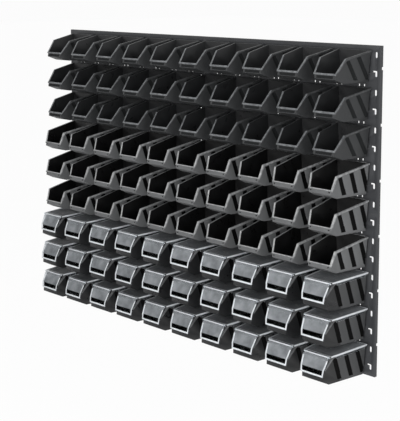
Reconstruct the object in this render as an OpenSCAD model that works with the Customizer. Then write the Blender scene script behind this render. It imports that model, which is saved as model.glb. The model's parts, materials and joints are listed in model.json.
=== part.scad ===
// Wall-mounted bin rack: four moulded plates carry nine rows of ten hook-on bins.
// Origin: centre of the back plane, on the wall. +X right, +Z up, the front faces -Y.

/* [Wall plates] */
// Width of one wall plate
plate_w = 576; // [570:1:600]
// Height of one wall plate
plate_h = 390; // [384:1:420]
// Depth of a plate from the wall to its front face
plate_t = 8; // [7:0.5:12]
// Thickness of a plate's face and flanges
plate_wall = 2.2; // [2:0.1:3]
// Distance from a plate's side edge to its column of slots
slot_edge = 13.5; // [12:0.5:18]
// Width of a slot
slot_w = 6; // [4:0.5:8]
// Height of a slot over its round ends
slot_h = 14; // [10:0.5:20]
// Length of the side branch at the top of every other slot
branch_w = 9; // [7:0.5:9.5]
// Height of a side branch
branch_h = 3.5; // [3:0.5:5]
// Height of a small hole above a rail
peg_h = 5; // [3:0.5:6]
// Width of a small hole above a rail
peg_w = 4; // [3:0.5:6]
// Distance between the two holes of a pair
peg_gap = 14.5; // [10:0.5:20]
// Distance from a plate's side edge to its first pair of holes
peg_edge = 54; // [50:1:60]
// Distance from the top of a cell to its small holes
peg_drop = 6; // [5:0.5:8]
// Thickness of the ribs behind a plate's face
rib_t = 1.6; // [1.2:0.1:2]
// Diameter of a wall screw hole
screw_d = 5; // [4:0.5:6]
// Distance from a plate's side edge to its screw holes
screw_edge = 100; // [95:1:110]
// Diameter of the boss round a screw hole
boss_d = 12; // [10:0.5:12]

/* [Edge keys] */
// Height of a notch in a plate's right flange
key_h = 7; // [5:0.5:10]
// Depth of a notch from the wall
key_d = 4; // [3:0.5:4.5]
// Distance from the top of a third of the plate down to its notch
key_drop = 52; // [40:1:60]
// Clearance round a key in its notch
key_gap = 0.3; // [0.2:0.05:0.5]

/* [Rails and hooks] */
// Distance from a plate's side edge to the end of its rails
rail_edge = 30; // [28:1:36]
// Thickness of the rail
rail_t = 2.3; // [2:0.1:3]
// Distance from the top of a cell to the rim of a bin that hangs there
rim_drop = 11; // [10:0.5:14]
// Thickness of a bin's hook
hook_t = 2.5; // [2:0.1:3]
// Space between a hook and the plate's face
hook_back = 2.5; // [2:0.1:3]
// Length of a hook below the rim
hook_drop = 9; // [8:0.5:10]
// Width of a hook
hook_w = 76; // [60:1:84]
// Clearance between a hook and its rail
hang_gap = 0.5; // [0.4:0.05:0.7]

/* [Bins] */
// Distance between the centres of two bins in a row
bin_pitch = 112.5; // [111:0.5:113]
// Height of a bin
bin_h = 73; // [70:1:75]
// Wall thickness of a bin
bin_wall = 2.2; // [1.8:0.1:2.6]
// Distance by which a bin's front leans back over its height
wall_lean = 3.5; // [2:0.5:5]
// Angle at which the sides close in towards the base
side_draft = 5; // [3:0.1:6]
// Width of the rim outside the walls
rim_w = 2.8; // [2:0.1:3]
// Height of the rim
rim_h = 3.5; // [3:0.1:5]
// Height of the bar along the front lip
bar_h = 4; // [3:0.5:5]
// Distance by which the bar stands out from the front lip
bar_t = 1.2; // [0.8:0.1:1.6]
// Width of a side groove
groove_w = 14; // [10:0.5:16]
// Distance between two side grooves
groove_pitch = 38; // [34:0.5:40]
// Depth of a side groove
groove_d = 1.1; // [0.6:0.1:1.2]
// Distance from the front end of the rim to the middle of the first groove
groove_first = 19; // [16:0.5:24]
// Distance of the grooves from the rim and from the base
groove_end = 6; // [5:0.5:9]

/* [Small bins] */
// Width of a small bin at its back, without the rim
small_w = 93; // [90:1:98]
// Angle at which the sides of a small bin close in towards the front
small_taper = 6.2; // [4:0.1:7]
// Depth of a small bin from the plate's face to its front lip
small_d = 116; // [112:1:122]
// Distance from the plate's face to the front end of the rim
small_top_d = 87; // [84:1:94]
// Fall of the rim from back to front
small_fall = 16; // [10:0.5:18]
// Distance from the rim down to the front lip
small_lip = 49; // [44:0.5:51]
// Height of the upright face below a small bin's lip
small_face = 13; // [10:0.5:14]
// Distance by which a small bin's base ends behind its lip
small_nose = 32; // [26:1:36]
// Lean of the grooves in a small bin's sides
small_lean = 34; // [28:1:36]
// Depth of the label field in a small bin's front
label_d = 0.6; // [0.4:0.1:0.8]
// Distance of the label field from the sides of the front
label_edge = 6; // [5:0.5:9]
// Distance of the label field from the bar above it and from the nose below it
label_gap = 1.5; // [1:0.5:2]

/* [Long and lidded bins] */
// Width of a long or lidded bin at its back, without the rim
long_w = 95; // [92:1:99]
// Angle at which the sides of a long or lidded bin close in towards the front
long_taper = 5.2; // [3:0.1:6]
// Distance by which a long or lidded bin's base ends behind its front
long_nose = 24; // [18:1:28]
// Lean of the grooves in the sides of a long or lidded bin
long_lean = 23; // [18:1:26]

/* [Long bins] */
// Depth of a long bin from the plate's face to its front lip
long_d = 127; // [122:1:136]
// Distance from the plate's face to the front end of the rim
long_top_d = 113; // [110:1:118]
// Fall of the rim from back to front
long_fall = 20; // [12:0.5:22]
// Distance from the rim down to the front lip
long_lip = 51; // [45:0.5:53]
// Height of the upright face below a long bin's lip
long_face = 11; // [10:0.5:13]
// Size of the square pocket at each end of a long bin's front
pocket_w = 3.5; // [2.5:0.5:5]
// Distance of a pocket from the side of the front
pocket_edge = 3; // [2.5:0.5:5]
// Depth of a pocket
pocket_d = 1.2; // [0.8:0.1:1.5]

/* [Lidded bins] */
// Depth of a lidded bin from the plate's face to its front wall
lidded_d = 145; // [143:1:148]
// Fall of the rim and of the lid from back to front
lidded_fall = 6; // [3:0.5:8]
// Distance from the rim down to the front wall
lidded_lip = 35; // [32:0.5:38]
// Height of a lidded bin's front wall
lidded_face = 26; // [24:0.5:28]

/* [Lids and flaps] */
// Thickness of the lid's top
lid_t = 2; // [1.6:0.1:2.4]
// Height of the raised edge on the lid
bead_h = 1.2; // [0.8:0.1:1.6]
// Width of the raised edge on the lid
bead_w = 2.5; // [1.5:0.1:3.5]
// Height of the lid's side skirts
skirt_h = 6; // [4.5:0.5:8]
// Thickness of the lid's side skirts
skirt_t = 1.4; // [1.2:0.1:1.8]
// Clearance between a skirt and the rim
skirt_gap = 0.3; // [0.2:0.05:0.5]
// Distance from the plate's face to the hinge axis
hinge_d = 129; // [127:0.5:132]
// Distance from the front end of the rim to the hinge axis
hinge_gap = 11; // [10:0.5:14]
// Radius of the flap's barrel
barrel_r = 2.5; // [2.2:0.1:2.7]
// Diameter of the hinge pins
pin_d = 3; // [2.6:0.1:3.2]
// Clearance round a pin in its ear
pin_gap = 0.2; // [0.15:0.05:0.3]
// Distance by which an ear stands out beyond the barrel
ear_step = 0.7; // [0.5:0.1:1]
// Width of a hinge ear
ear_w = 4; // [3:0.5:5]
// Clearance at each end of the barrel
ear_gap = 0.4; // [0.3:0.05:0.6]
// Thickness of the flap
flap_t = 2.1; // [1.6:0.1:2.4]
// Width of the raised frame round the flap
frame_w = 4; // [3:0.5:6]
// Height of the raised frame round the flap
frame_h = 0.6; // [0.4:0.1:0.8]
// Distance from the rim down to the lower edge of the flap
flap_drop = 50; // [47:0.5:55]
// Clearance between the flap and the front wall
flap_gap = 0.5; // [0.4:0.05:0.8]

/* [Hidden] */
$fn = 32;
rows = 9;
last_small = 3;
last_long = 6;
columns = 10;
cells = 9;
keys = 3;
peg_pairs = 8;
plate_grey = "#2b2d30";
bin_grey = "#232528";
clear_grey = [0.85, 0.88, 0.9, 0.35];

cell_h = plate_h / cells;
row_pitch = 2 * cell_h;
rail_in = hook_back + hook_t + hang_gap;
rail_out = rail_in + rail_t;
bin_back = rail_out + hang_gap;
trough = hook_drop + 2 * hang_gap;
rail_len = plate_w - 2 * rail_edge;
rail_base = rim_drop + trough + rail_t;
boss_z = (rail_base + cell_h) / 2;
pair_pitch = (plate_w - 2 * peg_edge) / (peg_pairs - 1);
wide = 2 * max(small_w, long_w);
reach = 400;

lidded_top_d = hinge_d - hinge_gap;
ear_r = barrel_r + ear_step;
lid_out = rim_w + skirt_gap + skirt_t;
lid_front = hinge_d - ear_r - hang_gap;
axis_z = lid_z(hinge_d) + lid_t + bead_h - barrel_r;
ear_out = long_w / 2 - tan(long_taper) * (hinge_d + ear_r - bin_back) + rim_w;
barrel_half = ear_out - ear_w - ear_gap;
pin_half = ear_out - ear_gap;

// Kinds of bin: front, end and fall of the rim, lip, face, nose, width, taper, grooves and their lean
SMALL = [small_d, small_top_d, small_fall, small_lip, small_face, small_nose,
    small_w, small_taper, 2, small_lean];
LONG = [long_d, long_top_d, long_fall, long_lip, long_face, long_nose,
    long_w, long_taper, 3, long_lean];
LIDDED = [lidded_d, lidded_top_d, lidded_fall, lidded_lip, lidded_face, long_nose,
    long_w, long_taper, 3, long_lean];

function front(k) = k[0];
function rim_end(k) = k[1];
function rim_fall(k) = k[2];
function lip(k) = k[3];
function face(k) = k[4];
function nose(k) = k[5];
function width(k) = k[6];
function taper(k) = k[7];
function grooves(k) = k[8];
function groove_lean(k) = k[9];

// Depth of a bin's front face at a drop below its lip
function face_d(k, drop) = front(k) - wall_lean * (1 - drop / face(k));

function kind(row) = row <= last_small ? SMALL : row <= last_long ? LONG : LIDDED;
function lid_z(d) = -lidded_fall * (d - bin_back) / (lidded_top_d - bin_back);
function bin_x(col) = (col - (columns + 1) / 2) * bin_pitch;
function rim_z(row) = plate_h - (row - 1) * row_pitch - rim_drop;
function flap_name(row, col) = str("flap_row", row, "_bin", col);

plate_names = ["plate_upper_left", "plate_upper_right", "plate_lower_left", "plate_lower_right"];

// Extrudes a side outline, given as depth and height, across the width w
module across(w, points) {
    rotate([90, 0, -90])
        linear_extrude(w, center = true)
            polygon(points);
}

// Moves a bin's pieces to their place on the rack
module at_bin(row, col) {
    translate([bin_x(col), -plate_t, rim_z(row)])
        children();
}

// Space inside one sloping side of a bin of kind k, moved in by inset
module half_space(k, inset) {
    translate([width(k) / 2 - inset, -bin_back, 0])
        rotate([0, side_draft, -taper(k)])
            translate([-reach, -reach / 2, -reach / 2])
                cube(reach);
}

// Side outline between both sides of a bin of kind k, moved in by inset
module between_sides(k, inset, points) {
    intersection() {
        across(wide, points);
        half_space(k, inset);
        mirror([1, 0, 0])
            half_space(k, inset);
    }
}

// Solid outline of a bin, without its rim
module bin_body(k) {
    between_sides(k, 0, [
        [bin_back, -bin_h],
        [bin_back, 0],
        [rim_end(k), -rim_fall(k)],
        [face_d(k, 0), -lip(k)],
        [front(k), -lip(k) - face(k)],
        [front(k) - nose(k), -bin_h]
    ]);
}

// Band along the top of the sides and down the front posts
module bin_rim(k) {
    between_sides(k, -rim_w, [
        [bin_back, 0],
        [rim_end(k), -rim_fall(k)],
        [face_d(k, 0), -lip(k)],
        [face_d(k, 0) - rim_h, -lip(k)],
        [rim_end(k) - rim_h, -rim_fall(k) - rim_h],
        [bin_back, -rim_h]
    ]);
}

// Bar along the front lip of an open bin
module lip_bar(k) {
    between_sides(k, -rim_w, [
        [face_d(k, 0) - bin_wall, -lip(k)],
        [face_d(k, 0) + bar_t, -lip(k)],
        [face_d(k, bar_h) + bar_t, -lip(k) - bar_h],
        [face_d(k, bar_h) - bin_wall, -lip(k) - bar_h]
    ]);
}

// Space inside a bin, open at the top and above the front lip
module bin_inside(k) {
    between_sides(k, bin_wall, [
        [bin_back + bin_wall, bin_wall - bin_h],
        [bin_back + bin_wall, bin_h],
        [2 * front(k), bin_h],
        [2 * front(k), -lip(k)],
        [face_d(k, 0) - bin_wall, -lip(k)],
        [front(k) - bin_wall, -lip(k) - face(k)],
        [front(k) - nose(k) - bin_wall / 2, bin_wall - bin_h]
    ]);
}

// Field of a side that the grooves keep to, inside the rim, the post and the base
module groove_field(k) {
    across(wide, [
        [bin_back, groove_end - bin_h],
        [bin_back, -groove_end],
        [rim_end(k) - groove_end, -rim_fall(k) - groove_end],
        [face_d(k, 0) - 2 * groove_end, -lip(k)],
        [front(k) - nose(k), groove_end - bin_h]
    ]);
}

// Leaning grooves in both sides, the first behind the front post
module bin_grooves(k) {
    shift = tan(groove_lean(k)) * bin_h / 2;
    difference() {
        intersection() {
            groove_field(k);
            for (i = [0:grooves(k) - 1])
                translate([0, i * groove_pitch + groove_first - rim_end(k), 0])
                    across(wide, [
                        [shift - groove_w / 2, 0],
                        [shift + groove_w / 2, 0],
                        [groove_w / 2 - shift, -bin_h],
                        [-groove_w / 2 - shift, -bin_h]
                    ]);
        }
        between_sides(k, groove_d, [[0, -bin_h], [0, 0], [front(k), 0], [front(k), -bin_h]]);
    }
}

// Shallow cut in the front face between two drops below the lip, inset from the sides
module front_cut(k, inset, from, to, depth) {
    between_sides(k, inset, [
        [face_d(k, from) - depth, -lip(k) - from],
        [face_d(k, from) + bin_wall, -lip(k) - from],
        [face_d(k, to) + bin_wall, -lip(k) - to],
        [face_d(k, to) - depth, -lip(k) - to]
    ]);
}

// Label field below the bar of a small bin
module label_field() {
    front_cut(SMALL, label_edge, bar_h + label_gap, small_face - label_gap, label_d);
}

// Square pockets below the bar of a long bin, one at each end
module lip_pockets() {
    difference() {
        front_cut(LONG, pocket_edge, bar_h, bar_h + pocket_w, pocket_d);
        front_cut(LONG, pocket_edge + pocket_w, 0, long_face, 2 * pocket_d);
    }
}

// Hook along the back of the rim
module bin_hook() {
    across(hook_w, [
        [bin_back + bin_wall / 2, 0],
        [hook_back, 0],
        [hook_back, -hook_drop],
        [hook_back + hook_t, -hook_drop],
        [hook_back + hook_t, -hook_t],
        [bin_back + bin_wall / 2, -hook_t]
    ]);
}

// One bin of kind k, its rim's back edge at the origin's height
module one_bin(k) {
    color(bin_grey)
        difference() {
            union() {
                bin_body(k);
                bin_rim(k);
                bin_hook();
                if (k != LIDDED) lip_bar(k);
            }
            bin_inside(k);
            bin_grooves(k);
            if (k == SMALL) label_field();
            if (k == LONG) lip_pockets();
        }
}

// Bins of one row, from column first to column last
module bin_group(row, first, last) {
    for (col = [first:last])
        at_bin(row, col)
            one_bin(kind(row));
}

// Side outline between two depths and two heights over the rim's line, which the lid follows
function lid_band(back, front, low, high) = [
    [back, lid_z(back) + low],
    [back, lid_z(back) + high],
    [front, lid_z(front) + high],
    [front, lid_z(front) + low]
];

// Flat top of a lid with its raised edge
module lid_top() {
    difference() {
        between_sides(LIDDED, -lid_out, lid_band(bin_back, lid_front, 0, lid_t + bead_h));
        between_sides(LIDDED, bead_w - lid_out,
            lid_band(bin_back + bead_w, lid_front - bead_w, lid_t, 2 * lid_t + bead_h));
    }
}

// Skirts that clip over the rim at both sides
module lid_skirts() {
    difference() {
        between_sides(LIDDED, -lid_out, lid_band(2 * bin_back, lidded_top_d - bin_back, -skirt_h, lid_t));
        between_sides(LIDDED, -rim_w - skirt_gap, lid_band(0, reach, -bin_h, 0));
    }
}

// Two ears with the bores for the flap's pins
module lid_ears() {
    for (side = [-1, 1])
        translate([side * (ear_out - ear_w / 2), 0, 0])
            difference() {
                union() {
                    translate([0, -hinge_d, axis_z])
                        rotate([0, 90, 0])
                            cylinder(r = ear_r, h = ear_w, center = true);
                    across(ear_w, [
                        [lid_front - bead_w, lid_z(lid_front) + lid_t / 2],
                        [lid_front - bead_w, axis_z + ear_r],
                        [hinge_d, axis_z + ear_r],
                        [hinge_d, axis_z - ear_r],
                        [lid_front, axis_z - ear_r],
                        [lid_front, lid_z(lid_front) + lid_t / 2]
                    ]);
                }
                translate([0, -hinge_d, axis_z])
                    rotate([0, 90, 0])
                        cylinder(d = pin_d + 2 * pin_gap, h = 2 * ear_w, center = true);
            }
}

// One clear lid
module one_lid() {
    color(clear_grey)
        union() {
            lid_top();
            lid_skirts();
            lid_ears();
        }
}

// Lids of one row, from column first to column last
module lid_group(row, first, last) {
    for (col = [first:last])
        at_bin(row, col)
            one_lid();
}

// Side outline of the folded flap, its front raised by rise
function flap_outline(rise) = let (
    fold_d = face_d(LIDDED, 0) + flap_gap + flap_t,
    low_d = face_d(LIDDED, flap_drop - lidded_lip) + flap_gap + flap_t
) [
    [hinge_d + flap_t / 2 + rise, axis_z],
    [fold_d + rise, -lidded_lip],
    [low_d + rise, -flap_drop],
    [low_d - flap_t, -flap_drop],
    [fold_d - flap_t, -lidded_lip],
    [hinge_d - flap_t / 2, axis_z]
];

// Folded sheet of a flap with its raised frame, cut free of the ears
module flap_sheet() {
    difference() {
        union() {
            between_sides(LIDDED, -rim_w, flap_outline(0));
            difference() {
                between_sides(LIDDED, -rim_w, flap_outline(frame_h));
                between_sides(LIDDED, frame_w - rim_w, [
                    [0, frame_w - flap_drop],
                    [0, axis_z - ear_r - frame_w],
                    [reach, axis_z - ear_r - frame_w],
                    [reach, frame_w - flap_drop]
                ]);
            }
        }
        translate([0, -hinge_d, axis_z])
            rotate([0, 90, 0])
                cylinder(r = ear_r + 2 * hang_gap, h = wide, center = true);
    }
}

// Clear front flap with its barrel and pins
module flap() {
    color(clear_grey)
        union() {
            translate([0, -hinge_d, axis_z])
                rotate([0, 90, 0])
                    cylinder(r = barrel_r, h = 2 * barrel_half, center = true);
            translate([0, -hinge_d, axis_z])
                rotate([0, 90, 0])
                    cylinder(d = pin_d, h = 2 * pin_half, center = true);
            intersection() {
                across(2 * barrel_half, flap_outline(0));
                translate([-reach / 2, -reach, -lidded_lip])
                    cube(reach);
            }
            flap_sheet();
        }
}

// Shell of a plate: face and flanges, open to the wall
module plate_shell() {
    difference() {
        translate([-plate_w / 2, -plate_t, 0])
            cube([plate_w, plate_t, plate_h]);
        translate([plate_wall - plate_w / 2, plate_wall - plate_t, plate_wall])
            cube([plate_w - 2 * plate_wall, plate_t, plate_h - 2 * plate_wall]);
    }
}

// Ribs behind a plate's face, between the cells and between pairs of holes
module plate_ribs() {
    translate([0, -plate_t + plate_wall / 2, 0]) {
        for (i = [1:cells - 1])
            translate([-plate_w / 2, 0, i * cell_h - rib_t / 2])
                cube([plate_w, plate_t - plate_wall, rib_t]);
        for (j = [0:2:peg_pairs - 2])
            translate([peg_edge - plate_w / 2 + (j + 0.5) * pair_pitch - rib_t / 2, 0, 0])
                cube([rib_t, plate_t - plate_wall, plate_h]);
    }
}

// Hook rails, one for each cell
module plate_rails() {
    for (i = [0:cells - 1])
        translate([0, -plate_t, plate_h - i * cell_h - rim_drop])
            across(rail_len, [
                [-plate_wall / 2, -trough - rail_t],
                [rail_out, -trough - rail_t],
                [rail_out, -hook_t - hang_gap],
                [rail_in, -hook_t - hang_gap],
                [rail_in, -trough],
                [-plate_wall / 2, -trough]
            ]);
}

// Places its children at the four wall screws
module at_screws() {
    for (x = [screw_edge - plate_w / 2, plate_w / 2 - screw_edge])
        for (z = [plate_h - boss_z, cell_h - boss_z])
            translate([x, 0, z])
                rotate([90, 0, 0])
                    children();
}

// Slots with round ends in a column at each side, every other one from cell first on with a branch
module plate_slots(first) {
    for (x = [slot_edge - plate_w / 2, plate_w / 2 - slot_edge])
        for (i = [0:cells - 1])
            translate([x, -plate_t, (i + 0.5) * cell_h]) {
                cube([slot_w, 3 * plate_wall, slot_h - slot_w], center = true);
                for (end = [-1, 1])
                    translate([0, 0, end * (slot_h - slot_w) / 2])
                        rotate([90, 0, 0])
                            cylinder(d = slot_w, h = 3 * plate_wall, center = true);
                if (i % 2 == first)
                    translate([-branch_w / 2, 0, (slot_h - branch_h) / 2])
                        cube([branch_w, 3 * plate_wall, branch_h], center = true);
            }
}

// Pairs of small holes above each rail but the top one
module plate_pegs() {
    for (i = [1:cells - 1])
        for (j = [0:peg_pairs - 1])
            for (side = [-0.5, 0.5])
                translate([
                    peg_edge - plate_w / 2 + j * pair_pitch + side * peg_gap,
                    -plate_t,
                    plate_h - i * cell_h - peg_drop
                ])
                    cube([peg_w, 3 * plate_wall, peg_h], center = true);
}

// Places its children at the keys of one side edge
module at_keys(x) {
    for (i = [0:keys - 1])
        translate([x, 0, plate_h * (keys - i) / keys - key_drop - key_h / 2])
            children();
}

// Keys on the left flange, which fit the notches of the next plate
module edge_keys() {
    at_keys(-plate_w / 2)
        translate([key_gap - plate_wall, key_gap - key_d, key_gap])
            cube([2 * (plate_wall - key_gap), key_d - key_gap, key_h - 2 * key_gap]);
}

// Notches in the right flange, open to the wall
module edge_notches() {
    at_keys(plate_w / 2)
        translate([-plate_wall, -key_d, 0])
            cube([2 * plate_wall, 2 * key_d, key_h]);
}

// One wall plate in its own frame, its lower edge at height 0
module wall_plate(first_branch) {
    color(plate_grey)
        difference() {
            union() {
                plate_shell();
                plate_ribs();
                plate_rails();
                at_screws()
                    cylinder(d = boss_d, h = plate_t - plate_wall / 2);
                edge_keys();
            }
            plate_slots(first_branch);
            plate_pegs();
            at_screws()
                translate([0, 0, -plate_wall])
                    cylinder(d = screw_d, h = plate_t + 2 * plate_wall);
            edge_notches();
        }
}

for (i = [0:3])
    translate([(i % 2 - 0.5) * plate_w, 0, i < 2 ? 0 : -plate_h])
            wall_plate(i < 2 ? 1 : 0);
for (row = [1:rows]) {
    bin_group(row, 1, columns - 1);
    bin_group(row, columns, columns);
}
for (row = [last_long + 1:rows]) {
    lid_group(row, 1, columns - 1);
    lid_group(row, columns, columns);
    for (col = [1:columns])
        at_bin(row, col) flap();
}
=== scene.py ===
# Wall rack: four moulded plates, open bins and lidded bins, dressed over the fixed frame
import json
import math

import bpy
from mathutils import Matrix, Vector


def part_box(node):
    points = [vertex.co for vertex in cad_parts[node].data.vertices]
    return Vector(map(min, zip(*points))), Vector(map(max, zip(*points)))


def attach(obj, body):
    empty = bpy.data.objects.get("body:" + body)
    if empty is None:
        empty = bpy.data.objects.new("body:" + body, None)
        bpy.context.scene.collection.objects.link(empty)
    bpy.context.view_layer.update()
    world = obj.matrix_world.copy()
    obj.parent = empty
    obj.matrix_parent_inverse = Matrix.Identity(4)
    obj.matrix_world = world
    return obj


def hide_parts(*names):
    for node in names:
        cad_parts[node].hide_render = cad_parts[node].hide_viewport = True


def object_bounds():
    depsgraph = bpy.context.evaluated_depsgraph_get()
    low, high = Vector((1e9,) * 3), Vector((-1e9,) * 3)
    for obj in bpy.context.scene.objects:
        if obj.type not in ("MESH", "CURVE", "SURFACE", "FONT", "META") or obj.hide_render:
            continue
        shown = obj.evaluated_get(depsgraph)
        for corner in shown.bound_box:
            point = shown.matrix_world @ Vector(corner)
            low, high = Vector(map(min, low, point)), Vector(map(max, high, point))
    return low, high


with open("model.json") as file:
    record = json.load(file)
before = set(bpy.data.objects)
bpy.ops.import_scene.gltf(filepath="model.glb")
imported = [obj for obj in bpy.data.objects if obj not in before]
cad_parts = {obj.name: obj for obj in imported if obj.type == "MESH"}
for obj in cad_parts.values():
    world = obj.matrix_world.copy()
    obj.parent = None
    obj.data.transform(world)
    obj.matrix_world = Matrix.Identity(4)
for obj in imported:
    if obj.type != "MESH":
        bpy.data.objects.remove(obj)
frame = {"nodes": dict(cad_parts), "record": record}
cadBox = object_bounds()
nodes = frame["nodes"]
bodies = frame["record"]["behaviour"]["bodies"]
nodeBody = {node: body for body, members in bodies.items() for node in members}
print("frame loaded:", len(nodes), "nodes")

mm = 0.001
columns = 10  # bins in a row, of which all but the end one share a node


# Colours and nodes

def hexColour(code):
    channels = [int(code[i:i + 2], 16) / 255 for i in (1, 3, 5)]
    linear = [c / 12.92 if c <= 0.04045 else ((c + 0.055) / 1.055) ** 2.4 for c in channels]
    return (*linear, 1.0)


def grain(sizeMm):
    return 1 / (sizeMm * mm)  # texture scale for a pattern of this size


def newMaterial(name):
    material = bpy.data.materials.new(name)
    material.use_nodes = True
    tree = material.node_tree
    return material, tree, tree.nodes["Principled BSDF"]


def setNode(tree, node, settings, links):
    for name, value in settings.items():
        if isinstance(name, int) or name in node.inputs:
            node.inputs[name].default_value = value
        else:
            setattr(node, name, value)
    for name, (source, output) in links.items():
        tree.links.new(source.outputs[output], node.inputs[name])
    return node


def addNode(tree, kind, settings, links):
    return setNode(tree, tree.nodes.new(kind), settings, links)


# Plastics

mixFactor, mixDark, mixLight, mixTone = 0, 6, 7, 2  # the Mix node's sockets for colours
wideSpan, midSpan, highSpan = (0.3, 0.7), (0.35, 0.65), (0.4, 0.7)  # the stretch of a noise that is used
polypropyleneIor, polystyreneIor = 1.49, 1.59


def darkToLight(look):
    return {"data_type": "RGBA", mixDark: hexColour(look["dark"]), mixLight: hexColour(look["light"])}


def smoothToDull(look, span):
    return {"From Min": span[0], "From Max": span[1], "To Min": look["roughLow"], "To Max": look["roughHigh"]}


# Moulded polypropylene, spark-eroded mould: black plastic that looks grey, with a fine dull grain.
# The real grain is about 0.2 mm, drawn coarser here so that it shows.
def texturedPolypropylene(name, look):
    material, tree, shader = newMaterial(name)
    place = addNode(tree, "ShaderNodeTexCoord", {}, {})
    cloud = addNode(tree, "ShaderNodeTexNoise", {"Scale": grain(look["cloudMm"]), "Detail": 4.0},
                    {"Vector": (place, "Object")})
    tone = addNode(tree, "ShaderNodeMix", darkToLight(look), {mixFactor: (cloud, "Fac")})
    dull = addNode(tree, "ShaderNodeMapRange", smoothToDull(look, wideSpan), {"Value": (cloud, "Fac")})
    pits = addNode(tree, "ShaderNodeTexNoise", {"Scale": grain(look["grainMm"]), "Detail": 2.0},
                   {"Vector": (place, "Object")})
    bump = addNode(tree, "ShaderNodeBump", {"Strength": look["bump"], "Distance": look["pitMm"] * mm},
                   {"Height": (pits, "Fac")})
    setNode(tree, shader, {"IOR": polypropyleneIor, "Specular IOR Level": look["shine"]},
            {"Base Color": (tone, mixTone), "Roughness": (dull, "Result"), "Normal": (bump, "Normal")})
    return material


# Rims, lips and rail edges: the same plastic painted paler as a highlight where edges catch the light, broken
# up by scuff marks
def scuffedHighlightPolypropylene(name, look):
    material, tree, shader = newMaterial(name)
    place = addNode(tree, "ShaderNodeTexCoord", {}, {})
    rub = addNode(tree, "ShaderNodeTexNoise",
                  {"Scale": grain(look["scuffMm"]), "Detail": 5.0, "Roughness": 0.6},
                  {"Vector": (place, "Object")})
    spread = addNode(tree, "ShaderNodeMapRange", {"From Min": midSpan[0], "From Max": midSpan[1]},
                     {"Value": (rub, "Fac")})
    tone = addNode(tree, "ShaderNodeMix", darkToLight(look), {mixFactor: (spread, "Result")})
    setNode(tree, shader,
            {"Roughness": look["rough"], "IOR": polypropyleneIor, "Specular IOR Level": look["shine"]},
            {"Base Color": (tone, mixTone)})
    return material


# The same plastic without the grain, with faint flow marks, made near-black as painted shade inside the bins
# and on the floors of the recesses.
# It shines softly inside the bins and is dull on the floors of the recesses.
def paintedShadePolypropylene(name, look):
    material, tree, shader = newMaterial(name)
    place = addNode(tree, "ShaderNodeTexCoord", {}, {})
    flow = addNode(tree, "ShaderNodeTexNoise",
                   {"Scale": grain(look["flowMm"]), "Detail": 3.0, "Distortion": 0.8},
                   {"Vector": (place, "Object")})
    dull = addNode(tree, "ShaderNodeMapRange", smoothToDull(look, wideSpan), {"Value": (flow, "Fac")})
    tone = addNode(tree, "ShaderNodeMix", darkToLight(look), {mixFactor: (flow, "Fac")})
    setNode(tree, shader, {"IOR": polypropyleneIor, "Specular IOR Level": look["shine"]},
            {"Base Color": (tone, mixTone), "Roughness": (dull, "Result")})
    return material


# Clear polystyrene, moulded and polished: glassy, with dust and hairline scuffs that dull it a little.
# Its looks set the IOR far below the real one, because a thin pane hardly bends what is seen through it,
# and the photo's soft light leaves no mirror image on it.
def clearPolystyrene(name, look):
    material, tree, shader = newMaterial(name)
    place = addNode(tree, "ShaderNodeTexCoord", {}, {})
    lie = addNode(tree, "ShaderNodeMapping",
                  {"Rotation": (0, 0, math.radians(look["hairTurn"])),
                   "Scale": (1, look["hairSqueeze"], look["hairSqueeze"])},
                  {"Vector": (place, "Object")})
    hairs = addNode(tree, "ShaderNodeTexNoise", {"Scale": grain(look["hairMm"]), "Detail": 4.0},
                    {"Vector": (lie, "Vector")})
    dull = addNode(tree, "ShaderNodeMapRange", smoothToDull(look, highSpan), {"Value": (hairs, "Fac")})
    dust = addNode(tree, "ShaderNodeTexNoise", {"Scale": grain(look["dustMm"]), "Detail": 3.0},
                   {"Vector": (place, "Object")})
    spread = addNode(tree, "ShaderNodeMapRange", {"From Min": wideSpan[0], "From Max": wideSpan[1]},
                     {"Value": (dust, "Fac")})
    tone = addNode(tree, "ShaderNodeMix", darkToLight(look), {mixFactor: (spread, "Result")})
    setNode(tree, shader,
            {"Transmission Weight": look["clear"], "IOR": look["ior"], "Specular IOR Level": look["shine"]},
            {"Base Color": (tone, mixTone), "Roughness": (dull, "Result")})
    return material


# Cut and rounded edges of the clear pieces, which gather light: painted a pale grey as a highlight, with a
# faint mottle
def edgeHighlightPolystyrene(name, look):
    material, tree, shader = newMaterial(name)
    place = addNode(tree, "ShaderNodeTexCoord", {}, {})
    edgeMottle = addNode(tree, "ShaderNodeTexNoise", {"Scale": grain(look["mottleMm"]), "Detail": 3.0},
                   {"Vector": (place, "Object")})
    tone = addNode(tree, "ShaderNodeMix", darkToLight(look), {mixFactor: (edgeMottle, "Fac")})
    setNode(tree, shader, {"Roughness": look["rough"], "IOR": polystyreneIor},
            {"Base Color": (tone, mixTone)})
    return material


# Shaping: a copy of a CAD node is merged, its flat faces joined up and its edges rounded

cleanUp = {"mergeMm": 0.01, "flatAngle": 0.3}


def selectOnly(piece):
    bpy.ops.object.select_all(action="DESELECT")
    piece.select_set(True)
    bpy.context.view_layer.objects.active = piece


def copyNode(node, materials):
    piece = bpy.data.objects.new(node + "Moulding", nodes[node].data.copy())
    bpy.context.scene.collection.objects.link(piece)
    selectOnly(piece)
    piece.data.materials.clear()
    bpy.ops.mesh.customdata_custom_splitnormals_clear()
    bpy.ops.object.mode_set(mode="EDIT")
    bpy.ops.mesh.select_all(action="SELECT")
    bpy.ops.mesh.remove_doubles(threshold=cleanUp["mergeMm"] * mm)
    bpy.ops.mesh.dissolve_limited(angle_limit=math.radians(cleanUp["flatAngle"]))
    bpy.ops.object.mode_set(mode="OBJECT")
    for material in materials:
        piece.data.materials.append(material)
    return piece


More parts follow.
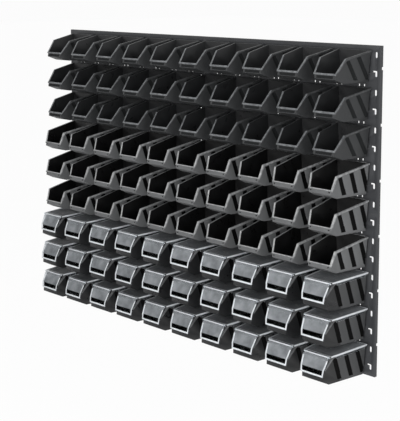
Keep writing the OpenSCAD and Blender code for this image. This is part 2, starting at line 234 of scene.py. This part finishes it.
def cutFaces(piece, wanted, at, across=(0, 0, 1)):
    # splits the wanted faces with a plane through this point
    selectOnly(piece)
    bpy.ops.object.mode_set(mode="EDIT")
    bpy.ops.mesh.select_all(action="DESELECT")
    bpy.ops.object.mode_set(mode="OBJECT")
    for face in piece.data.polygons:
        face.select = wanted(face)
    bpy.ops.object.mode_set(mode="EDIT")
    bpy.ops.mesh.bisect(plane_co=at, plane_no=across)
    bpy.ops.object.mode_set(mode="OBJECT")


def roundEdges(piece, look):
    selectOnly(piece)
    soften = piece.modifiers.new("soften", "BEVEL")
    soften.width = look["edgeMm"] * mm
    soften.segments = look["edgeSteps"]
    soften.limit_method = "ANGLE"
    soften.angle_limit = math.radians(look["edgeAngle"])
    soften.material = look["edgeSlot"]
    bpy.ops.object.modifier_apply(modifier=soften.name)
    bpy.ops.object.shade_smooth_by_angle(angle=math.radians(look["edgeAngle"]))


def placePiece(piece, node):
    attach(piece, nodeBody[node])
    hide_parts(node)


def copyTo(master, fromNode, node, count=1, pitch=0.0):
    # a copy at another node's place, or a row of them, made before the master itself is placed
    selectOnly(master)
    bpy.ops.object.duplicate()
    piece = bpy.context.view_layer.objects.active
    piece.name = node + "Moulding"
    piece.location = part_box(node)[0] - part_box(fromNode)[0]
    bpy.ops.object.transform_apply(location=True, rotation=False, scale=False)
    if count > 1:
        row = piece.modifiers.new("row", "ARRAY")
        row.count = count
        row.use_relative_offset = False
        row.use_constant_offset = True
        row.constant_offset_displace = (pitch, 0, 0)
        bpy.ops.object.modifier_apply(modifier=row.name)
    placePiece(piece, node)


def rowPitch(row):
    # how far the end bin's right side lies from that of the bin beside it
    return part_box("end_bin_row%d" % row)[1].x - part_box("bins_row%d" % row)[1].x


# Bins

binFinish = {  # in the order of the material slots
    "shell": (texturedPolypropylene, "BinPolypropylene"),
    "rim": (scuffedHighlightPolypropylene, "BinRimPaintedHighlight"),
    "lip": (scuffedHighlightPolypropylene, "BinLipPaintedHighlight"),
    "inside": (paintedShadePolypropylene, "BinPolishedInsidePaintedShade"),
    "recess": (paintedShadePolypropylene, "BinRecessPaintedShade"),
}
shellSlot, rimHighlightSlot, lipHighlightSlot, insideShadeSlot, recessShadeSlot = range(len(binFinish))
binLook = {
    "edgeMm": 0.4, "edgeSteps": 2, "edgeAngle": 30,
    "edgeSlot": -1,        # a rounded edge keeps the finish beside it
    "flatTop": 0.9, "postTilt": (0.25, 0.75), "frontTilt": 0.9,  # how far a face looks up or forward
    "upright": 0.9,        # a wall looks sideways by more than this
    "lipMm": 8,            # a flat top this near the front is the lip
    "postMm": 20,          # a leaning face above the lip and this near the front is a post
    "barMm": 5,            # a front face this near the lip is its bar
    "lineMm": 1.6,         # the uppermost part of the front, painted bright on the long bins as a highlight
    "backMm": 12,          # a flat top this near the back is the back of the rim
    "recessMm": 0.4,       # a face set in by more than this is the floor of a recess
    "rimMm": 1.5,          # a side face that stands out by more than this is the outside of the rim
}
shellGrain = {"cloudMm": 25, "grainMm": 1.2, "pitMm": 0.3, "bump": 0.25, "roughLow": 0.45, "roughHigh": 0.6,
              "shine": 0.3}
polish = {"flowMm": 30, "roughLow": 0.25, "roughHigh": 0.45, "shine": 0.25}
shade = {"flowMm": 12, "roughLow": 0.6, "roughHigh": 0.8, "shine": 0.05}
rubbed = {"scuffMm": 9, "rough": 0.45, "shine": 0.3}
worn = {"scuffMm": 9, "rough": 0.4, "shine": 0.4}
# The three kinds are one plastic: their shells, rims and lips are given lighter or darker tones as painted
# light, lightest on the long bins and darkest on the small ones, for how the light falls on each row
binKinds = {
    "small": {"rows": (1, 2, 3), "barSlot": lipHighlightSlot,
              "shell": {"dark": "#232425", "light": "#2b2c2d", **shellGrain},
              "rim": {"dark": "#292a2b", "light": "#404142", **rubbed},
              "lip": {"dark": "#434547", "light": "#646668", **worn},
              "inside": {"dark": "#161617", "light": "#202122", **polish},
              "recess": {"dark": "#161717", "light": "#1e1f20", **shade}},
    "long": {"rows": (4, 5, 6), "barSlot": shellSlot,
             "shell": {"dark": "#4a4b4c", "light": "#565758", **shellGrain},
             "rim": {"dark": "#5c5d5e", "light": "#838485", **rubbed},
             "lip": {"dark": "#6e6f70", "light": "#949595", **worn},
             "inside": {"dark": "#060606", "light": "#0e0e0f", **polish},
             "recess": {"dark": "#030303", "light": "#080808", **shade}},
    "lidded": {"rows": (7, 8, 9), "barSlot": shellSlot,
               "shell": {"dark": "#2f3031", "light": "#38393a", **shellGrain},
               "rim": {"dark": "#393a3b", "light": "#5a5b5c", **rubbed},
               "lip": {"dark": "#393a3b", "light": "#5a5b5c", **rubbed},
               "inside": {"dark": "#161617", "light": "#202122", **polish},
               "recess": {"dark": "#030303", "light": "#080808", **shade}},
}
liddedRows = binKinds["lidded"]["rows"]
lidNode = "end_lid_row%d" % liddedRows[0]
flapNode = "flap_row%d_bin%d" % (liddedRows[0], columns)


def looksForward(face, centre):
    return -face.normal.y > binLook["frontTilt"] and face.center.y < centre.y


def looksSideways(face):
    return abs(face.normal.x) > binLook["upright"]


def cutFront(piece, height, centre):
    cutFaces(piece, lambda f: looksForward(f, centre), (0, 0, height))


def findLips(piece, low):
    return [f for f in piece.data.polygons
            if f.normal.z > binLook["flatTop"] and f.center.y < low.y + binLook["lipMm"] * mm]


def paintBin(piece, low, high, barSlot):
    centre = (low + high) / 2
    faces = piece.data.polygons
    setIn, standOut = binLook["recessMm"] * mm, binLook["rimMm"] * mm
    sides = [f for f in faces if looksSideways(f) and f.normal.x * (f.center.x - centre.x) > 0]
    walls = sorted(sides, key=lambda f: f.area)[-2:]
    wallReach = min(f.normal.dot(f.center - centre) for f in walls)
    lips = findLips(piece, low)
    lipZ = max(f.center.z for f in lips)
    barBase, lineBase = lipZ - binLook["barMm"] * mm, lipZ - binLook["lineMm"] * mm
    front = [f for f in faces if looksForward(f, centre) and f.center.z < lipZ]
    posts = [f for f in faces if binLook["postTilt"][0] < f.normal.z < binLook["postTilt"][1]
             and f.center.z > lipZ and f.center.y < low.y + binLook["postMm"] * mm]
    panel = [f for f in front if f.center.z < barBase]
    panelReach = max(f.normal.dot(f.center - centre) for f in panel)
    for face in faces:
        reachOut = face.normal.dot(face.center - centre)
        sunkSide = face in sides and reachOut < wallReach - setIn
        sunkFront = face in panel and reachOut < panelReach - setIn
        # the floors of the grooves and of the panel below the bar are painted near-black: painted shade
        if sunkSide or sunkFront:
            face.material_index = recessShadeSlot
        # the lip, its bar and the posts get the lip's pale tone: a painted highlight
        elif face in front and face.center.z > barBase:
            face.material_index = lipHighlightSlot if face.center.z > lineBase else barSlot
        elif face in lips or face in posts:
            face.material_index = lipHighlightSlot
        # faces that look into the bin, the undersides of the rim too, are painted dark: painted shade
        elif reachOut < 0:
            face.material_index = insideShadeSlot
        # flat tops, the back of the rim and the outside of the rim get the pale rim and lip tones: painted
        # highlights
        elif face.normal.z > binLook["flatTop"]:
            face.material_index = lipHighlightSlot if face.center.y > high.y - binLook["backMm"] * mm else rimHighlightSlot
        elif face in sides and reachOut > wallReach + standOut:
            face.material_index = rimHighlightSlot


def paintShadeBehindFlap(piece, height, centre):
    # the front wall behind the flap's apron is painted as black as a recess: painted shade
    cutFront(piece, height, centre)
    for face in piece.data.polygons:
        outside = face.normal.dot(face.center - centre) > 0
        if outside and looksForward(face, centre) and face.center.z > height:
            face.material_index = recessShadeSlot


def paintNoseShade(piece):
    # the nose and the sides before the first groove are painted as dark as the inside: painted shade
    grooves = [f for f in piece.data.polygons if f.material_index == recessShadeSlot and looksSideways(f)]
    first = min(grooves, key=lambda f: f.center.y)
    at = first.center.copy()
    corners = sorted((piece.data.vertices[v].co.copy() for v in first.vertices), key=lambda c: c.z)
    lean = corners[-1] + corners[-2] - corners[0] - corners[1]
    across = Vector((0, lean.z, -lean.y))
    cutFaces(piece, lambda f: f.material_index == shellSlot and looksSideways(f), at, across)
    for face in piece.data.polygons:
        if face.material_index == shellSlot and (face.center - at).dot(across) < 0:
            face.material_index = insideShadeSlot


for kind, look in binKinds.items():
    firstRow = look["rows"][0]
    binNode = "end_bin_row%d" % firstRow
    low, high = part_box(binNode)
    middle = (low + high) / 2
    master = copyNode(binNode, [make(kind + name, look[part]) for part, (make, name) in binFinish.items()])
    if kind == "long":
        lipTop = max(f.center.z for f in findLips(master, low))
        cutFront(master, lipTop - binLook["lineMm"] * mm, middle)
    paintBin(master, low, high, look["barSlot"])
    if kind == "lidded":
        paintShadeBehindFlap(master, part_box(flapNode)[0].z, middle)
        paintNoseShade(master)
    roundEdges(master, binLook)
    for row in look["rows"]:
        if row != firstRow:
            copyTo(master, binNode, "end_bin_row%d" % row)
        copyTo(master, binNode, "bins_row%d" % row, columns - 1, rowPitch(firstRow))
    placePiece(master, binNode)
    print(kind, "bins dressed:", len(master.data.polygons), "faces each")


# Lids and flaps

sheetSlot, windowSlot, edgeHighlightSlot, fieldSlot = range(4)
dusty = {"dustMm": 24, "hairMm": 20, "hairTurn": 35, "hairSqueeze": 9}
clearLook = {
    "edgeMm": 0.4, "edgeSteps": 2, "edgeAngle": 30, "edgeSlot": edgeHighlightSlot,
    "flatTop": 0.9, "frontTilt": 0.5,  # how far a face looks up or forward
    "upright": 0.9,                    # a skirt looks sideways by more than this
    "paneTilt": 0.2,                   # the window above the fold leans back more than this
    "raisedMm": 0.3,                   # a face this far in front of a pane is part of its frame
    "sameSlope": 0.999,                # how nearly a frame lies along its pane
    "barrelMm": 3,                     # a face this near the top of a flap is part of its barrel
    "sheet": {"dark": "#e6eaed", "light": "#eef1f3", "clear": 1.0, "roughLow": 0.03, "roughHigh": 0.12,
              "ior": 1.03, "shine": 0.5, **dusty},
    "window": {"dark": "#8b8f93", "light": "#b2b6ba", "clear": 0.6, "roughLow": 0.14, "roughHigh": 0.22,
               "ior": 1.06, "shine": 0.5, **dusty},
    "edge": {"dark": "#9b9fa3", "light": "#bec1c4", "rough": 0.4, "mottleMm": 8},
    "field": {"dark": "#797c7f", "light": "#8e9194", "clear": 0.35, "roughLow": 0.1, "roughHigh": 0.3,
              "ior": 1.06, "shine": 0.0, **dusty},  # the dust on top takes away its shine
}
clearFinish = [  # in the order of the material slots
    clearPolystyrene("clearPolystyrene", clearLook["sheet"]),
    clearPolystyrene("scuffedClearPolystyrene", clearLook["window"]),
    edgeHighlightPolystyrene("polystyreneEdgePaintedHighlight", clearLook["edge"]),
    clearPolystyrene("dustyClearPolystyrene", clearLook["field"]),
]


def paintLid(piece):
    # the field is the largest face that looks up; the bead and the ears, the others, are painted pale as a
    # highlight, and so are the outsides of the skirts, the two largest that look sideways, in their upper
    # half
    tops = [f for f in piece.data.polygons if f.normal.z > clearLook["flatTop"]]
    field = max(tops, key=lambda f: f.area)
    for face in tops:
        face.material_index = fieldSlot if face == field else edgeHighlightSlot
    slope, middle = field.normal.copy(), field.center.copy()
    outer = [f for f in piece.data.polygons
             if abs(f.normal.x) > clearLook["upright"] and f.normal.x * (f.center.x - middle.x) > 0]
    skirts = sorted(outer, key=lambda f: f.area)[-2:]
    half = skirts[0].center.copy()
    skirtFaces = {f.index for f in skirts}
    reach = min(abs(f.center.x - middle.x) for f in skirts) - clearLook["raisedMm"] * mm
    cutFaces(piece, lambda f: f.index in skirtFaces, half, slope)
    for face in piece.data.polygons:
        outside = abs(face.normal.x) > clearLook["upright"] and abs(face.center.x - middle.x) > reach
        if outside and (face.center - half).dot(slope) > 0:
            face.material_index = edgeHighlightSlot


def paintFlap(piece):
    # the window above the fold and the apron below it, each with a raised frame of the same slope,
    # which is painted pale as a highlight at the sides and below and left clear above the window; the barrel
    # at the top is painted pale as a highlight too
    for slot, leaning in ((windowSlot, True), (sheetSlot, False)):
        part = [f for f in piece.data.polygons if -f.normal.y > clearLook["frontTilt"]
                and (f.normal.z > clearLook["paneTilt"]) == leaning]
        field = max(part, key=lambda f: f.area)
        slope = field.normal.copy()
        level = slope.dot(field.center) + clearLook["raisedMm"] * mm
        fieldTop = max(piece.data.vertices[v].co.z for v in field.vertices)
        cutFaces(piece, lambda f: f.normal.dot(slope) > clearLook["sameSlope"], (0, 0, fieldTop))
        for face in piece.data.polygons:
            if face.normal.dot(slope) > clearLook["sameSlope"]:
                raised = face.normal.dot(face.center) > level and (face.center.z < fieldTop or not leaning)
                face.material_index = edgeHighlightSlot if raised else slot
    barrelBase = max(v.co.z for v in piece.data.vertices) - clearLook["barrelMm"] * mm
    for face in piece.data.polygons:
        if face.center.z > barrelBase:
            face.material_index = edgeHighlightSlot


lid = copyNode(lidNode, clearFinish)
paintLid(lid)
roundEdges(lid, clearLook)
flap = copyNode(flapNode, clearFinish)
paintFlap(flap)
roundEdges(flap, clearLook)
for row in liddedRows:
    copyTo(lid, lidNode, "lids_row%d" % row, columns - 1, rowPitch(liddedRows[0]))
    if row != liddedRows[0]:
        copyTo(lid, lidNode, "end_lid_row%d" % row)
    for column in range(1, columns + 1):
        node = "flap_row%d_bin%d" % (row, column)
        if node != flapNode:
            copyTo(flap, flapNode, node)
placePiece(lid, lidNode)
placePiece(flap, flapNode)
print("lids and flaps dressed")


# Wall plates

plateLook = {
    "rows": ("upper", "lower"),
    "edgeMm": 0.5, "edgeSteps": 2, "edgeAngle": 30,
    "edgeSlot": -1,        # a rounded edge keeps the finish beside it
    "flatTop": 0.9,        # a flat top looks up by more than this
    "railMm": 5,           # a flat top this near the front is the edge of a rail
    "shell": {"dark": "#2b2c2e", "light": "#333436", "cloudMm": 60, "grainMm": 1.5, "pitMm": 0.3, "bump": 0.3,
              "roughLow": 0.4, "roughHigh": 0.55, "shine": 0.3},
    "rail": {"dark": "#4c4d4f", "light": "#808284", "scuffMm": 14, "rough": 0.4, "shine": 0.35},
}
plateFinish = [  # in the order of the material slots
    texturedPolypropylene("platePolypropylene", plateLook["shell"]),
    scuffedHighlightPolypropylene("railEdgePaintedHighlight", plateLook["rail"]),
]
railHighlightSlot = 1


def paintRailHighlights(piece):
    # the upper edges of the rails are painted paler, a painted highlight where they face the light from
    # above, with scuff marks
    outer = min(f.center.y for f in piece.data.polygons)
    for face in piece.data.polygons:
        if face.normal.z > plateLook["flatTop"] and face.center.y < outer + plateLook["railMm"] * mm:
            face.material_index = railHighlightSlot


for row in plateLook["rows"]:
    plateNode = "plate_%s_right" % row
    plate = copyNode(plateNode, plateFinish)
    paintRailHighlights(plate)
    roundEdges(plate, plateLook)
    copyTo(plate, plateNode, "plate_%s_left" % row)
    placePiece(plate, plateNode)
    print(row, "plates dressed:", len(plate.data.polygons), "faces each")


# Floor, world, lights and camera

studio = {
    "white": "#ffffff",
    "floorDrop": 0.55, "floorSize": 60.0, "floorWhite": "#f6f6f6", "floorRough": 0.9,
    "floorGlow": 0.95,                 # under 1, so that the floor keeps the rack's shadow
    "skyLight": 0.5, "skySeen": 0.97,  # how the sky lights the rack, and how bright it is seen
    "lamps": {
        "keyLamp": {"at": (3.3, -0.9, 0.6), "size": 1.6, "watts": 32},
        "fillLamp": {"at": (1.9, -3.0, 0.5), "size": 2.4, "watts": 110},
        "topLamp": {"at": (0.6, -1.4, 3.0), "size": 2.0, "watts": 18},
        "lowLamp": {"at": (1.6, -2.6, -0.8), "size": 1.2, "watts": 25},
    },
}


def seenDirectly(tree):
    # 1 for what the camera sees, also in a reflection or through clear plastic
    path = addNode(tree, "ShaderNodeLightPath", {}, {})
    shine = addNode(tree, "ShaderNodeMath", {"operation": "MAXIMUM"},
                    {0: (path, "Is Camera Ray"), 1: (path, "Is Glossy Ray")})
    return addNode(tree, "ShaderNodeMath", {"operation": "MAXIMUM"},
                   {0: (shine, "Value"), 1: (path, "Is Transmission Ray")})


def makeFloor(low):
    bpy.ops.object.select_all(action="DESELECT")
    bpy.ops.mesh.primitive_plane_add(size=studio["floorSize"], location=(0, 0, low.z - studio["floorDrop"]))
    floor = bpy.context.view_layer.objects.active
    floor.name = "studioFloor"
    material, tree, shader = newMaterial("paleStudioFloor")
    setNode(tree, shader,
            {"Base Color": hexColour(studio["floorWhite"]), "Roughness": studio["floorRough"]}, {})
    glow = addNode(tree, "ShaderNodeEmission", {"Color": hexColour(studio["white"]), "Strength": 1.0}, {})
    seen = addNode(tree, "ShaderNodeMath", {"operation": "MULTIPLY", 1: studio["floorGlow"]},
                   {0: (seenDirectly(tree), "Value")})
    blend = addNode(tree, "ShaderNodeMixShader", {},
                    {0: (seen, "Value"), 1: (shader, "BSDF"), 2: (glow, "Emission")})
    setNode(tree, tree.nodes["Material Output"], {}, {"Surface": (blend, "Shader")})
    floor.data.materials.append(material)


def makeWorld():
    world = bpy.data.worlds.new("whiteStudio")
    world.use_nodes = True
    bpy.context.scene.world = world
    tree = world.node_tree
    level = addNode(tree, "ShaderNodeMapRange", {"To Min": studio["skyLight"], "To Max": studio["skySeen"]},
                    {"Value": (seenDirectly(tree), "Value")})
    setNode(tree, tree.nodes["Background"], {"Color": hexColour(studio["white"])},
            {"Strength": (level, "Result")})


def makeLamps(aim):
    for name, lamp in studio["lamps"].items():
        bpy.ops.object.light_add(type="AREA", location=lamp["at"])
        light = bpy.context.view_layer.objects.active
        light.name = name
        light.data.size = lamp["size"]
        light.data.energy = lamp["watts"]
        light.rotation_euler = (aim - Vector(lamp["at"])).to_track_quat("-Z", "Y").to_euler()


viewpoint = {
    "at": (2.156, -2.092, 0.542),
    "turn": 46.21, "down": 7.41,  # degrees from the rack's front, and below level
    "focalPixels": 1139, "heightPixels": 421, "sensorMm": 36, "shift": -0.20,
}


def makeCamera():
    bpy.ops.object.camera_add(location=viewpoint["at"])
    camera = bpy.context.view_layer.objects.active
    tilt = 90 - viewpoint["down"]  # a camera turned by 90 looks level
    camera.rotation_euler = (math.radians(tilt), 0, math.radians(viewpoint["turn"]))
    camera.data.sensor_width = viewpoint["sensorMm"]
    camera.data.lens = viewpoint["focalPixels"] * viewpoint["sensorMm"] / viewpoint["heightPixels"]
    camera.data.shift_y = viewpoint["shift"]
    bpy.context.scene.camera = camera


makeFloor(cadBox[0])
makeWorld()
makeLamps((cadBox[0] + cadBox[1]) / 2)
makeCamera()
bpy.context.scene.view_settings.view_transform = "Standard"
print("studio ready")
